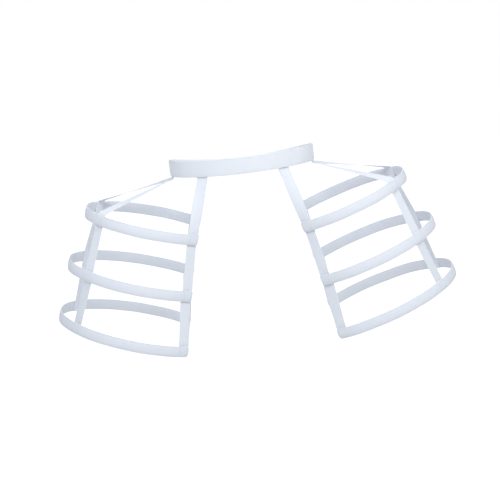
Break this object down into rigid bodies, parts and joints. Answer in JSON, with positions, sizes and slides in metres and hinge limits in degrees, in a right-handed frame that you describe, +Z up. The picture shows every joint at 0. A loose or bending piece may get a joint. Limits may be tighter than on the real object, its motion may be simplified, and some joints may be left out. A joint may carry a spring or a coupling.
{
  "type": "crinoline cage",
  "caption": "Open side-hoop crinoline cage: boned fabric hoops at both hips hang by flat tapes from one oval waistband that fastens at the back.",
  "frame": {"origin": "middle of the oval waistband, halfway up its front", "axes": "+X to the wearer's left, -Y to the front, +Z up"},
  "size_m": [0.7406, 0.2822, 0.3439],
  "materials": {
    "waistband": "woven, matte",
    "hoop_casing": "woven, matte",
    "hanging_tape": "woven, matte",
    "hoop_tie": "woven, matte",
    "loop_strip": "woven, matte",
    "hook_strip": "hooked pile",
    "hoop_bone": "coated flat strip",
    "bone_tip": "moulded cap"
  },
  "bodies": {
    "root": {"left_back_inner_tape": "hanging_tape", "left_back_outer_tape": "hanging_tape", "left_front_inner_tape": "hanging_tape", "left_front_outer_tape": "hanging_tape", "left_lower_hoop_back_tip": "bone_tip", "left_lower_hoop_bone": "hoop_bone", "left_lower_hoop_casing": "hoop_casing", "left_lower_hoop_front_tip": "bone_tip", "left_lower_hoop_tie": "hoop_tie", "left_middle_hoop_back_tip": "bone_tip", "left_middle_hoop_bone": "hoop_bone", "left_middle_hoop_casing": "hoop_casing", "left_middle_hoop_front_tip": "bone_tip", "left_middle_hoop_tie": "hoop_tie", "left_upper_hoop_back_tip": "bone_tip", "left_upper_hoop_bone": "hoop_bone", "left_upper_hoop_casing": "hoop_casing", "left_upper_hoop_front_tip": "bone_tip", "left_upper_hoop_tie": "hoop_tie", "right_back_inner_tape": "hanging_tape", "right_back_outer_tape": "hanging_tape", "right_front_inner_tape": "hanging_tape", "right_front_outer_tape": "hanging_tape", "right_lower_hoop_back_tip": "bone_tip", "right_lower_hoop_bone": "hoop_bone", "right_lower_hoop_casing": "hoop_casing", "right_lower_hoop_front_tip": "bone_tip", "right_lower_hoop_tie": "hoop_tie", "right_middle_hoop_back_tip": "bone_tip", "right_middle_hoop_bone": "hoop_bone", "right_middle_hoop_casing": "hoop_casing", "right_middle_hoop_front_tip": "bone_tip", "right_middle_hoop_tie": "hoop_tie", "right_upper_hoop_back_tip": "bone_tip", "right_upper_hoop_bone": "hoop_bone", "right_upper_hoop_casing": "hoop_casing", "right_upper_hoop_front_tip": "bone_tip", "right_upper_hoop_tie": "hoop_tie", "waistband": "waistband", "waistband_hook_strip": "hook_strip", "waistband_loop_strip": "loop_strip"}
  },
  "joints": []
}
